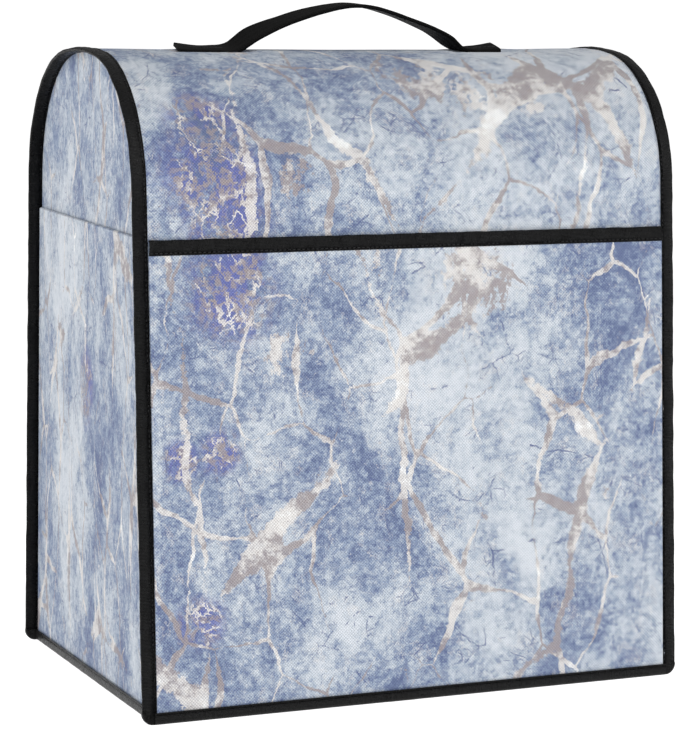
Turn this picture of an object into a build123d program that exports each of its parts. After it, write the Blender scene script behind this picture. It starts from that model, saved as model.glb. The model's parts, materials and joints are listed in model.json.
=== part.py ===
from build123d import *
from math import atan2, cos, degrees, hypot, radians, sin, sqrt, tan
import os

# Dust cover for a tilt-head stand mixer. Millimetres and degrees.
# X runs along the ridge, Y from front to back, Z up from the surface that the hem rests on.
# The origin is the centre of the bottom. Every arched piece is an offset of one outline:
# leaning walls, two shoulder arcs and one crown arc, inset by the layers outside it.

# The outline, over the tape
width = 390.0
base_depth = 264.0
height = 430.0
wall_lean = 3.0
shoulder_radius = 92.0
crown_radius = 242.0

# Layers
fabric = 0.7
foam = 2.0
lining = 0.5
tape = 0.6
thread = 0.3
thread_width = 0.6

# Seams and hem
flange = 9.7
hem_height = 8.0
corner_radius = 8.0
stitch_from_edge = 1.6

# Pockets. Each mouth is so far below the top of the straight walls.
pocket_below_shoulder = 30.7
pocket_tape_height = 10.0
side_pocket_front_below_shoulder = 30.2
side_pocket_back_below_shoulder = 25.2
side_pocket_fold = 12.0
moving_gap = 0.3
mouth_gap = 0.6

# Handle
webbing_width = 25.0
webbing_thickness = 2.6
handle_span = 171.0
handle_rise = 30.6
tab_length = 33.0
handle_lean = 40.0
tab_stitch_margin = 3.5

# Worked out from the values above
half_width = width / 2
half_depth = base_depth / 2
lean = radians(wall_lean)
main_outside = tape
main_inside = main_outside + fabric
lip_inside = main_inside + fabric
flange_inside = lip_inside + tape
foam_inside = main_inside + foam
lining_inside = foam_inside + lining
hem_inside = lining_inside + tape
side_face = half_width - flange
side_foam_face = side_face - fabric
side_lining_face = side_foam_face - foam
side_inner_face = side_lining_face - lining
side_hem_inner = side_inner_face - tape
ridge = height - main_outside
strap_foot = webbing_width / 2 * tan(radians(handle_lean)) + moving_gap / cos(radians(handle_lean))
oversize = 2 * (width + base_depth + height)  # for cutting tools that reach past every piece


def shoulder_centre():
    """Centre of the arc that is tangent to the leaning wall and, inside, to the crown arc."""
    across = half_depth - shoulder_radius * cos(lean)
    up = -shoulder_radius * sin(lean) - (height - crown_radius)
    along = across * sin(lean) - up * cos(lean)
    gap = across ** 2 + up ** 2 - (crown_radius - shoulder_radius) ** 2
    travel = along + sqrt(along ** 2 - gap)
    return across - travel * sin(lean), up + height - crown_radius + travel * cos(lean)


def wall_top():
    """Height where the straight walls end and the shoulder arcs begin."""
    return shoulder_centre()[1] + shoulder_radius * sin(lean)


def wall_at(inset, z):
    """Half depth of the outline at a height on the straight walls."""
    return half_depth - inset / cos(lean) - z * tan(lean)


def arch_edges(inset, x, z_low):
    """The outline, inset by some layers, from the front foot over the crown to the back foot."""
    centre_y, centre_z = shoulder_centre()
    crown_z = height - crown_radius
    turn = atan2(centre_z - crown_z, centre_y)
    bend = shoulder_radius - inset
    half_way = (lean + turn) / 2
    outline = [
        (wall_at(inset, z_low), z_low),
        (centre_y + bend * cos(lean), centre_z + bend * sin(lean)),
        (centre_y + bend * cos(half_way), centre_z + bend * sin(half_way)),
        ((crown_radius - inset) * cos(turn), crown_z + (crown_radius - inset) * sin(turn)),
    ]
    foot, spring, shoulder, crown = [Vector(x, -y, z) for y, z in outline]
    back_foot, back_spring, back_shoulder, back_crown = [Vector(x, y, z) for y, z in outline]
    top = Vector(x, 0, height - inset)
    return [
        Line(foot, spring),
        ThreePointArc(spring, shoulder, crown),
        ThreePointArc(crown, top, back_crown),
        ThreePointArc(back_crown, back_shoulder, back_spring),
        Line(back_spring, back_foot),
    ]


def prism(edges, length):
    """A closed outline at one X, carried along X."""
    return extrude(Face(Wire(edges)), amount=length, dir=(1, 0, 0))


def arch_block(inset, x_low, x_high, z_low=0.0):
    """Everything under the inset outline."""
    edges = arch_edges(inset, x_low, z_low)
    return prism(edges + [Line(edges[-1] @ 1, edges[0] @ 0)], x_high - x_low)


def arch_shell(outside, inside, x_low, x_high, z_low=0.0):
    """One layer that follows the outline."""
    outer = arch_edges(outside, x_low, z_low)
    inner = arch_edges(inside, x_low, z_low)
    foot = Line(inner[0] @ 0, outer[0] @ 0)
    back_foot = Line(outer[-1] @ 1, inner[-1] @ 1)
    return prism([foot] + outer + [back_foot] + inner[::-1], x_high - x_low)


def corners_prism(corners, x_low, x_high):
    """Straight-sided piece from corners given as (y, z)."""
    points = [(x_low, y, z) for y, z in corners]
    return prism(Polyline(*points, close=True).edges(), x_high - x_low)


def wall_strip(outside, inside, x_low, x_high, z_low, z_high):
    """A strip of one layer on the straight part of the front wall."""
    corners = [
        (-wall_at(outside, z_low), z_low),
        (-wall_at(outside, z_high), z_high),
        (-wall_at(inside, z_high), z_high),
        (-wall_at(inside, z_low), z_low),
    ]
    return corners_prism(corners, x_low, x_high)


def side_strip(inset, x_low, x_high, z_low, front_high, back_high):
    """A flat strip across one end, between the front and back walls."""
    corners = [
        (-wall_at(inset, z_low), z_low),
        (-wall_at(inset, front_high), front_high),
        (wall_at(inset, back_high), back_high),
        (wall_at(inset, z_low), z_low),
    ]
    return corners_prism(corners, x_low, x_high)


def front_and_back(piece):
    return piece + mirror(piece, about=Plane.XZ)


def corner_tool(x_edge, z_edge, radius):
    """What rounding takes off the bottom outer corner of a seam, on the right-hand side."""
    square = Pos(x_edge - radius / 2, 0, z_edge + radius / 2) * Box(radius, oversize, radius)
    round_bar = Cylinder(radius, 2 * oversize, rotation=(90, 0, 0))
    return square - Pos(x_edge - radius, 0, z_edge + radius) * round_bar


def flange_core():
    """The seam allowances inside the edge tape, with the rounded bottom corner."""
    edge = half_width - tape
    core = arch_shell(main_outside, lip_inside, side_face, edge, tape)
    return core - corner_tool(edge, tape, corner_radius - tape)


def flange_tape():
    """The tape around the seam allowances, hem included."""
    envelope = arch_shell(0, flange_inside, side_face, half_width)
    return envelope - corner_tool(half_width, 0, corner_radius) - flange_core()


def above(piece, z):
    return piece & Pos(0, 0, z + oversize / 2) * Box(oversize, oversize, oversize)


def below(piece, z):
    return piece & Pos(0, 0, z - oversize / 2) * Box(oversize, oversize, oversize)


def main_panel():
    edge = half_width - tape
    tool = corner_tool(edge, tape, corner_radius - tape)
    panel = arch_shell(main_outside, main_inside, -edge, edge, tape)
    return panel - tool - mirror(tool, about=Plane.YZ)


def side_panel():
    """The right-hand end: a flat panel with its edge turned outwards along the main panel."""
    edge = half_width - tape
    flat = arch_block(main_inside, side_foam_face, side_face, tape)
    lip = arch_shell(main_inside, lip_inside, side_face, edge, tape)
    return flat + (lip - corner_tool(edge, tape, corner_radius - tape))


def side_hem():
    outer = side_strip(flange_inside, side_face, side_face + tape, 0, hem_height, hem_height)
    under = side_strip(flange_inside, side_hem_inner, side_face, 0, tape, tape)
    inner = side_strip(lining_inside, side_hem_inner, side_inner_face, 0, hem_height, hem_height)
    return outer + under + inner + below(flange_tape(), hem_height)


def hem_binding():
    outer = wall_strip(0, main_outside, -side_face, side_face, 0, hem_height)
    under = wall_strip(0, hem_inside, -side_face, side_face, 0, tape)
    inner = wall_strip(lining_inside, hem_inside, -side_inner_face, side_inner_face, 0, hem_height)
    right = side_hem()
    return front_and_back(outer + under + inner) + right + mirror(right, about=Plane.YZ)


def edge_stitching():
    """The thread line on the outside of the right-hand edge tape."""
    x_low = side_face + stitch_from_edge
    return arch_shell(-thread, 0, x_low, x_low + thread_width, hem_height)


def hem_stitching():
    z_low = hem_height - stitch_from_edge - thread_width
    z_high = z_low + thread_width
    front = wall_strip(-thread, 0, -side_face, side_face, z_low, z_high)
    back = mirror(front, about=Plane.XZ)
    thread_face = side_face + tape
    right = side_strip(flange_inside, thread_face, thread_face + thread, z_low, z_high, z_high)
    return Compound([front, back, right, mirror(right, about=Plane.YZ)])


def mouth_angle(pocket_top, stack):
    """How far a pocket leans off the wall, so that its thicker mouth clears it."""
    return degrees((stack + mouth_gap - moving_gap) / (pocket_top - 2 * hem_height))


def pocket_height():
    return wall_top() - pocket_below_shoulder


def front_pocket(piece):
    """Lean a piece of the front pocket off the wall, about the seam in the hem."""
    z_low = hem_height + moving_gap
    middle = main_outside - moving_gap - fabric / 2
    seam = Axis((0, -wall_at(middle, z_low), z_low), (1, 0, 0))
    return piece.rotate(seam, mouth_angle(pocket_height() - pocket_tape_height, tape))


def front_pocket_panel():
    inside = main_outside - moving_gap
    x_end = side_face - moving_gap
    z_low = hem_height + moving_gap
    panel = wall_strip(inside - fabric, inside, -x_end, x_end, z_low, pocket_height() - tape)
    return front_pocket(panel)


def front_pocket_binding():
    inside = main_outside - moving_gap
    x_end = side_face - moving_gap
    top = pocket_height()
    z_low = top - pocket_tape_height
    folded = wall_strip(inside - fabric - tape, inside + tape, -x_end, x_end, z_low, top)
    cloth = wall_strip(inside - fabric, inside, -x_end, x_end, z_low, top - tape)
    return front_pocket(folded - cloth)


def pocket_binding_stitching():
    outside = main_outside - moving_gap - fabric - tape
    x_end = side_face - moving_gap
    z_low = pocket_height() - pocket_tape_height + stitch_from_edge
    z_high = z_low + thread_width
    return front_pocket(wall_strip(outside - thread, outside, -x_end, x_end, z_low, z_high))


def side_pocket():
    """The right-hand side pocket, its top edge folded in on itself."""
    inset = flange_inside + moving_gap
    z_low = hem_height + moving_gap
    inside = side_face + moving_gap
    front_high = wall_top() - side_pocket_front_below_shoulder
    back_high = wall_top() - side_pocket_back_below_shoulder
    panel = side_strip(inset, inside, inside + fabric, z_low, front_high, back_high)
    whole_fold = side_strip(inset, inside - fabric, inside, z_low, front_high, back_high)
    fold_front = front_high - side_pocket_fold
    fold_back = back_high - side_pocket_fold
    under_fold = side_strip(inset, inside - fabric, inside, z_low, fold_front, fold_back)
    seam = Axis((inside + fabric / 2, 0, z_low), (0, 1, 0))
    return (panel + (whole_fold - under_fold)).rotate(seam, mouth_angle(fold_front, fabric))


def strap_radius():
    """Outer radius of the handle's arch, which stands on the ridge."""
    return ((handle_span / 2) ** 2 + handle_rise ** 2) / (2 * handle_rise)


def strap_face(x_low, x_high, z_low, z_high):
    """The handle's arch as a face across Y, between two heights."""
    outer = strap_radius()
    ring = Circle(outer) - Circle(outer - webbing_thickness)
    window = Pos((x_low + x_high) / 2, (z_low + z_high) / 2) * Rectangle(x_high - x_low, z_high - z_low)
    return (Pos(0, ridge + handle_rise - outer) * ring) & window


def webbing(face):
    """A face carried across the width of the webbing."""
    return extrude(Plane.XZ * face, amount=webbing_width / 2, both=True)


def handle_strap():
    """The part of the handle that leans: all of the arch above its two roots."""
    return webbing(strap_face(-handle_span, handle_span, ridge + strap_foot, ridge + 2 * handle_rise))


def handle_tab():
    """The right-hand end of the webbing: sewn flat on the ridge, with the root of the arch."""
    middle = strap_radius() - webbing_thickness / 2
    x_low = sqrt(middle ** 2 - (middle - handle_rise + webbing_thickness) ** 2)
    x_high = handle_span / 2 + tab_length
    flat = Pos((x_low + x_high) / 2, ridge) * Rectangle(x_high - x_low, 2 * webbing_thickness)
    root = strap_face(0, handle_span, ridge - webbing_thickness, ridge + strap_foot)
    reach = strap_foot - moving_gap
    swing_x = sqrt(strap_radius() ** 2 - (strap_radius() - handle_rise + strap_foot) ** 2)
    swing = Box(2 * (swing_x + moving_gap), oversize, oversize)
    swing -= Cylinder(reach, oversize, rotation=(0, 90, 0))
    return webbing(flat + root) - Pos(0, 0, ridge) * swing - arch_block(main_outside, 0, width)


def tab_stitching():
    """A sewn box with a cross on the right-hand tab."""
    margin = tab_stitch_margin
    x_low = handle_span / 2 + 2 * margin
    x_high = handle_span / 2 + tab_length - margin
    y_end = webbing_width / 2 - margin
    centre = Pos((x_low + x_high) / 2, 0, ridge + webbing_thickness + thread / 2)
    long = x_high - x_low
    wide = 2 * y_end
    lines = Pos(0, y_end, 0) * Box(long, thread_width, thread)
    lines += Pos(0, -y_end, 0) * Box(long, thread_width, thread)
    lines += Pos(long / 2, 0, 0) * Box(thread_width, wide, thread)
    lines += Pos(-long / 2, 0, 0) * Box(thread_width, wide, thread)
    turn = degrees(atan2(wide, long))
    for angle in (turn, -turn):
        lines += Rot(0, 0, angle) * Box(hypot(long, wide), thread_width, thread)
    return centre * lines


def both_ends(make):
    """A piece on both ends of the cover, as one node."""
    right = make()
    return Compound([right, mirror(right, about=Plane.YZ)])


def build():
    side_foam = arch_block(foam_inside, side_lining_face, side_foam_face, tape)
    side_cloth = arch_block(lining_inside, side_inner_face, side_lining_face, tape)
    right_hand = {
        "side_panel": side_panel(),
        "side_interlining": side_foam,
        "side_lining": side_cloth,
        "edge_binding": above(flange_tape(), hem_height),
        "edge_stitching": edge_stitching(),
        "side_pocket": side_pocket(),
        "handle_tab": handle_tab(),
    }
    nodes = {
        "main_panel": main_panel(),
        "main_interlining": arch_shell(main_inside, foam_inside, -side_foam_face, side_foam_face, tape),
        "main_lining": arch_shell(foam_inside, lining_inside, -side_lining_face, side_lining_face, tape),
        "hem_binding": hem_binding(),
        "hem_stitching": hem_stitching(),
        "front_pocket_panel": front_pocket_panel(),
        "front_pocket_binding": front_pocket_binding(),
        "pocket_binding_stitching": pocket_binding_stitching(),
        "handle_strap": handle_strap(),
        "handle_tab_stitching": both_ends(tab_stitching),
    }
    for name, piece in right_hand.items():
        nodes[name + "_right"] = piece
        nodes[name + "_left"] = mirror(piece, about=Plane.YZ)
    return nodes


def export(nodes):
    os.makedirs("parts", exist_ok=True)
    for name, piece in nodes.items():
        piece.label = name
        export_step(piece, f"parts/{name}.step")


export(build())
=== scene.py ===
import json
from math import atan2, cos, exp, floor, pi, radians, sin, sqrt, tan

import bmesh
import bpy
from mathutils import Matrix, Vector, noise


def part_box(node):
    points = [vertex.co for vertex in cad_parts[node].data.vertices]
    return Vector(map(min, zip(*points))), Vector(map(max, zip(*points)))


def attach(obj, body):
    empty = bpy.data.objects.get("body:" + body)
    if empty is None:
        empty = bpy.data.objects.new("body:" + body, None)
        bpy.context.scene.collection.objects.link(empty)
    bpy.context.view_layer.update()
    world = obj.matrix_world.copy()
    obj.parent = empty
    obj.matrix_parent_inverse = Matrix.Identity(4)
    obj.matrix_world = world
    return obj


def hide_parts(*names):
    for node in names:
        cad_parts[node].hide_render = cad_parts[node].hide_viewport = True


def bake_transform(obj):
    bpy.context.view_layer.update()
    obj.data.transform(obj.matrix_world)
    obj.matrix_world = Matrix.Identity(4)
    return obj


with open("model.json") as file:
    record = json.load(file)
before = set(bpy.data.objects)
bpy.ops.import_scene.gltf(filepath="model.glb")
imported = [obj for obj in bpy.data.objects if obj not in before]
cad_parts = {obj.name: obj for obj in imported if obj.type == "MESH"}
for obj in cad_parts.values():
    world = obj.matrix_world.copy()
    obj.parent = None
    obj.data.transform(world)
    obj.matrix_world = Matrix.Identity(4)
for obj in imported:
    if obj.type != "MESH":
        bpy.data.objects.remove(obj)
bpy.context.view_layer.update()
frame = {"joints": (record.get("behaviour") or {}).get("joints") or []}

mm = 0.001

# places read from the frame, in metres
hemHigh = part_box("hem_binding")[1]
halfWidth = hemHigh[0]
halfDepth = hemHigh[1]
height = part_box("edge_binding_left")[1][2]
sideFace = -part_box("edge_binding_left")[1][0]      # where the side seams begin
hemTop = hemHigh[2]
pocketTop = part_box("front_pocket_binding")[1][2]
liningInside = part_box("side_lining_right")[0][0]

outline = {"lean": radians(3.0), "shoulder": 92 * mm, "crown": 242 * mm}
# thicknesses
cloth = {"printed": 0.7 * mm, "felt": 1.9 * mm, "lining": 0.4 * mm, "tape": 0.5 * mm, "pocket": 0.55 * mm}
# how far each layer's cut lies inside the outline
layer = {"main": 0.6 * mm, "lip": 1.3 * mm, "felt": 1.35 * mm, "lining": 3.7 * mm,
         "sideFelt": 3.4 * mm, "sideLining": 3.9 * mm}


def jointAt(name):
    found = [joint for joint in frame["joints"] if joint["name"] == name][0]
    return Vector(found["pos_m"])


def shoulderCentre():
    # where the shoulder arc touches both the leaning wall and the crown
    lean, bend = outline["lean"], outline["shoulder"]
    across = halfDepth - bend * cos(lean)
    up = -bend * sin(lean) - (height - outline["crown"])
    along = across * sin(lean) - up * cos(lean)
    gap = across ** 2 + up ** 2 - (outline["crown"] - bend) ** 2
    travel = along + sqrt(along ** 2 - gap)
    return across - travel * sin(lean), up + height - outline["crown"] + travel * cos(lean)


centreY, centreZ = shoulderCentre()
crownZ = height - outline["crown"]
crownTurn = atan2(centreZ - crownZ, centreY)
wallLength = centreZ / cos(outline["lean"]) + outline["shoulder"] * tan(outline["lean"])
shoulderLength = outline["shoulder"] * (crownTurn - outline["lean"])
halfLength = wallLength + shoulderLength + outline["crown"] * (pi / 2 - crownTurn)


def outlineAt(distance, inset):
    # a point of the arch and the way out of it, by distance from the front foot
    side = -1 if distance < halfLength else 1
    run = min(distance, 2 * halfLength - distance)
    lean = outline["lean"]
    if run < wallLength:
        angle = lean
        start = (halfDepth - run * sin(lean), run * cos(lean))
    elif run < wallLength + shoulderLength:
        bend = outline["shoulder"]
        angle = lean + (run - wallLength) / bend
        start = (centreY + bend * cos(angle), centreZ + bend * sin(angle))
    else:
        bend = outline["crown"]
        angle = crownTurn + (run - wallLength - shoulderLength) / bend
        start = (bend * cos(angle), crownZ + bend * sin(angle))
    out = Vector((0, side * cos(angle), sin(angle)))
    return Vector((0, side * start[0], start[1])) - out * inset, out


def smooth(low, high, value):
    t = min(max((value - low) / (high - low), 0), 1)
    return t * t * (3 - 2 * t)


def ripple(point, size, seed):
    # gentle unevenness from -1 to 1, size is the distance between humps
    return noise.noise(point / size + Vector((seed * 7.3, seed * 3.1, seed * 5.7))) * 1.6


def newObject(name, bm):
    mesh = bpy.data.meshes.new(name)
    bm.to_mesh(mesh)
    bm.free()
    piece = bpy.data.objects.new(name, mesh)
    bpy.context.scene.collection.objects.link(piece)
    return piece


def finishCloth(piece, thickness, sharpAngle=50):
    # thickness goes inwards, then the mesh is made final
    if thickness:
        wall = piece.modifiers.new("thickness", "SOLIDIFY")
        wall.thickness = thickness
        wall.offset = -1
        depsgraph = bpy.context.evaluated_depsgraph_get()
        final = bpy.data.meshes.new_from_object(piece.evaluated_get(depsgraph))
        piece.modifiers.clear()
        piece.data = final
    piece.data.shade_smooth()
    piece.data.set_sharp_from_angle(angle=radians(sharpAngle))
    return piece


def clothGrid(name, size, step, place, cut=None, printStart=(0, 0), printScale=1, turnOver=False,
              thickness=0.0):
    # a flat cut of cloth, size across and along, laid in the air by place(u, v)
    # cut(u, v) says where that is on the cut, if it isn't at u, v
    across, along = size
    bm = bmesh.new()
    bmesh.ops.create_grid(bm, x_segments=max(2, round(across / step[0])),
                          y_segments=max(2, round(along / step[1])), size=0.5)
    weave = bm.loops.layers.uv.new("weave")
    pattern = bm.loops.layers.uv.new("print")
    for face in bm.faces:
        for corner in face.loops:
            u, v = (corner.vert.co.x + 0.5) * across, (corner.vert.co.y + 0.5) * along
            if cut:
                u, v = cut(u, v)
            corner[weave].uv = (u, v)
            corner[pattern].uv = (printStart[0] + u * printScale, printStart[1] + v)
    for vert in bm.verts:
        vert.co = place((vert.co.x + 0.5) * across, (vert.co.y + 0.5) * along)
    if turnOver:
        bmesh.ops.reverse_faces(bm, faces=bm.faces)
    bmesh.ops.remove_doubles(bm, verts=bm.verts, dist=0.02 * mm)
    return finishCloth(newObject(name, bm), thickness)


def tapeSection(w, tape):
    # across a folded tape: w runs from the free edge of its outer leg, over the fold, to the other free edge
    # gives the distance in from the fold, the distance out of the middle, and the way out
    leg, radius = tape["leg"], tape["radius"]
    arc = pi * radius
    if w < leg:
        inwards, out, away = leg - w, radius, (0, 1)
    elif w < leg + arc:
        turn = pi / 2 - (w - leg) / radius
        inwards, out, away = -radius * cos(turn), radius * sin(turn), (-cos(turn), sin(turn))
    else:
        inwards, out, away = w - leg - arc, -radius, (0, -1)
    press = exp(-((inwards - leg + tape["stitchIn"]) / tape["grooveWidth"]) ** 2) * tape["groove"]
    body = tape["bulge"] * max(0.0, sin(pi * min(max(inwards / (leg - tape["stitchIn"]), 0), 1)))
    edge = smooth(leg - 0.6 * mm, leg, inwards) * tape["edgeDip"]
    lift = body - press - edge
    return inwards + away[0] * lift, out + away[1] * lift, away


def tapeGrid(name, length, tape, path, turnOver=False):
    # path(t) gives a point of the fold line, the way in from it, and the way out of the outer leg
    width = 2 * tape["leg"] + pi * tape["radius"]

    def place(t, w):
        inwards, out, away = tapeSection(w, tape)
        start, inWay, outWay = path(t)
        spot = start + inWay * inwards + outWay * out
        folded = Vector((t / tape["wrinkleAlong"], w / tape["wrinkleAcross"], 0))
        rumple = noise.noise(folded + Vector((tape["seed"] * 9.1, 0, 0))) + 0.5 * noise.noise(folded * 2.3)
        spot += (inWay * away[0] + outWay * away[1]) * rumple * tape["wrinkle"]
        spot.z = max(spot.z, cloth["tape"] + 0.1 * mm)      # nothing goes below the floor
        return spot

    piece = clothGrid(name, (length, width), (tape["step"], 0.55 * mm), place, turnOver=turnOver,
                      thickness=cloth["tape"])
    return piece, (length, width)


def rgb(code):
    # sRGB hex to linear
    parts = [int(code[i:i + 2], 16) / 255 for i in (1, 3, 5)]
    return [c / 12.92 if c <= 0.04045 else ((c + 0.055) / 1.055) ** 2.4 for c in parts] + [1]


def addNode(tree, kind, inputs=None, give=0, **settings):
    # a node with its settings; an input is a value or another node's socket
    # gives the node's output of that name or number, or the node itself
    node = tree.nodes.new("ShaderNode" + kind)
    for name, value in settings.items():
        setattr(node, name, value)
    for name, value in (inputs or {}).items():
        socket = node.inputs[name]
        if isinstance(value, bpy.types.NodeSocket):
            tree.links.new(value, socket)
        else:
            socket.default_value = value
    return node if give is None else node.outputs[give]


def newMaterial(name):
    material = bpy.data.materials.new(name)
    material.use_nodes = True
    tree = material.node_tree
    return material, tree, tree.nodes["Principled BSDF"]


def inkLaid(tree, under, ink, share, *masks):
    # one more ink, as strong as share where every mask is 1
    # a mask is a socket, or a field with the values where the ink starts and where it is full
    for mask in masks:
        if isinstance(mask, tuple):
            field, low, high = mask
            mask = addNode(tree, "MapRange", {"Value": field, "From Min": low, "From Max": high},
                           interpolation_type="SMOOTHSTEP")
        share = addNode(tree, "Math", {0: mask, 1: share}, operation="MULTIPLY")
    return addNode(tree, "Mix", {"Factor": share, 6: under, 7: ink}, data_type="RGBA", give=2)


def threadWaves(tree, threads, pitch):
    # the two ways of a weave, each a wave from -1 to 1 with that spacing
    split = addNode(tree, "SeparateXYZ", {0: threads}, give=None)
    waves = []
    for way in (0, 1):
        turns = addNode(tree, "Math", {0: split.outputs[way], 1: 2 * pi / pitch}, operation="MULTIPLY")
        waves.append(addNode(tree, "Math", {0: turns}, operation="SINE"))
    return waves


def finishSurface(tree, surface, colour, height, strength, depth, constants):
    # colour, relief and the values that are the same all over
    bump = addNode(tree, "Bump", {"Height": height, "Strength": strength, "Distance": depth})
    tree.links.new(colour, surface.inputs["Base Color"])
    tree.links.new(bump, surface.inputs["Normal"])
    for name, value in constants.items():
        surface.inputs[name].default_value = value


marble = {
    "deep": "#626f90", "blue": "#8594ad", "middle": "#a1acbc", "pale": "#bac2cb", "mist": "#cdd2d9",
    "crack": "#56628a", "violet": "#6468ae", "taupe": "#9a9090", "cream": "#dad6d2", "white": "#f2f2f0",
    # where each colour of the stone lies on its scale
    "stops": ((0.26, "deep"), (0.37, "blue"), (0.47, "middle"), (0.58, "pale"), (0.74, "mist")),
    # where the stone is pale, violet or foiled: middles and sizes of soft areas on the cut cloth, in metres;
    # the first two pale spots, on the crown's front right, are a painted highlight, the others are pale print
    "paleAndHighlightSpots": ((0.285, 2.36, 0.085), (0.335, 2.44, 0.06), (0.015, 2.42, 0.024), (0.190, 0.215, 0.048),
                  (0.235, 0.180, 0.045), (0.275, 0.130, 0.045), (0.215, 0.280, 0.032), (0.150, 0.060, 0.030),
                  (5.55, 3.2, 0.07), (4.50, 3.9, 0.09), (4.55, 3.72, 0.06)),
    "violetSpots": ((0.054, 2.352, 0.026), (0.062, 2.322, 0.022), (0.050, 2.390, 0.016),
                    (0.054, 0.272, 0.024), (0.018, 0.165, 0.010), (0.046, 0.170, 0.011),
                    (0.030, 0.060, 0.012), (4.62, 3.80, 0.02), (4.62, 3.36, 0.02)),
    "foilSpots": ((0.268, 2.410, 0.030), (0.112, 2.350, 0.014), (0.215, 2.430, 0.022), (0.092, 0.228, 0.015),
                  (0.227, 0.275, 0.026), (0.216, 0.050, 0.020), (0.075, 0.100, 0.014)),
    # fields of grain: their drawing, lean in degrees, stretch, shift, grains a metre, detail, roughness
    "grains": {"wobble": ("flat", 0, 1, 0, 24, 6, 0.65), "cloud": ("drifted", 27, 0.65, 0, 11, 5, 0.55),
               "wisp": ("drifted", 27, 0.65, 0, 36, 10, 0.78), "fine": ("flat", 0, 1, 0, 170, 6, 0.85),
               "patch": ("rough", 0, 1, 0, 38, 9, 0.75), "broken": ("flat", 0, 1, 0, 48, 6, 0.7),
               "speck": ("rough", 0, 1, 0, 260, 5, 0.75), "crumb": ("rough", 0, 1, 0, 190, 6, 0.75),
               "chip": ("drifted", 27, 0.7, (4, 6, 0), 55, 9, 0.78), "edge": ("flat", 0, 1, 0, 210, 6, 0.72),
               "presence": ("flat", 28, 0.6, (5, 3, 0), 15, 2, 0.5),
               "curl": ("rough", 10, 0.7, (3, 4, 0), 62, 5, 0.6),
               "blotch": ("rough", 28, 0.5, (1, 7, 0), 26, 9, 0.74),
               "sheen": ("flat", 0, 1, (9, 2, 0), 22, 9, 0.75)},
    # cracks: cells a metre, width, strength, and the least brokenness where they show
    "cracks": ((13, 0.55 * mm, 0.85, 0.50), (34, 0.5 * mm, 0.75, 0.53), (80, 0.45 * mm, 0.65, 0.54)),
    # nets of foil: lean, stretch, shift, cells a metre, widest vein, and how their presence counts
    "foilNets": ((28, 0.48, 0, 8.5, 3.4 * mm, 7.0, -3.15), (24, 0.6, (2, 1, 0), 23, 1.3 * mm, 8.0, -3.35)),
    # about 0.5 mm in real cloth, drawn four times as coarse so that the grain shows
    "threadPitch": 2.1 * mm,
}


def nearSpots(tree, place, spots, wobble):
    # 1 inside any of the round spots, fading to 0 at their uneven rims
    best = None
    for x, y, radius in spots:
        away = addNode(tree, "VectorMath", {0: place, 1: (x, y, 0)}, operation="DISTANCE", give="Value")
        uneven = addNode(tree, "Math", {0: wobble, 1: radius * 1.4, 2: away}, operation="MULTIPLY_ADD")
        near = addNode(tree, "MapRange", {"Value": uneven, "From Min": radius * 1.8, "From Max": radius * 0.6},
                       interpolation_type="SMOOTHSTEP")
        if best is not None:
            near = addNode(tree, "Math", {0: best, 1: near}, operation="MAXIMUM")
        best = near
    return best


def pushed(tree, place, scale, amount, detail):
    # shifts a place by a noise of that scale, by up to about half of amount each way
    spread = addNode(tree, "TexNoise", {"Vector": place, "Scale": scale, "Detail": detail, "Roughness": 0.6},
                     give="Color")
    shift = addNode(tree, "VectorMath", {0: spread, 1: (0.5, 0.5, 0.5)}, operation="SUBTRACT")
    shift = addNode(tree, "VectorMath", {0: shift, "Scale": amount}, operation="SCALE")
    return addNode(tree, "VectorMath", {0: place, 1: shift}, operation="ADD")


def cellEdges(tree, place, scale):
    # how far a place is from the nearest line of a net of cells, in metres
    cells = addNode(tree, "TexVoronoi", {"Vector": place, "Scale": scale}, feature="DISTANCE_TO_EDGE",
                    voronoi_dimensions="2D", give="Distance")
    return addNode(tree, "Math", {0: cells, 1: 1 / scale}, operation="MULTIPLY")


def veinNet(tree, place, scale, widest, here, ragged):
    # a branching net of veins that swell where here is high, and end where it is low; widths in metres
    far = cellEdges(tree, place, scale)
    fray = addNode(tree, "Math", {0: ragged, 1: widest}, operation="MULTIPLY")
    room = addNode(tree, "Math", {0: here, 1: widest, 2: fray}, operation="MULTIPLY_ADD")
    inside = addNode(tree, "Math", {0: room, 1: far}, operation="SUBTRACT")
    return addNode(tree, "MapRange", {"Value": inside, "From Min": -0.1 * mm, "From Max": 0.35 * mm},
                   interpolation_type="SMOOTHSTEP")


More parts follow.
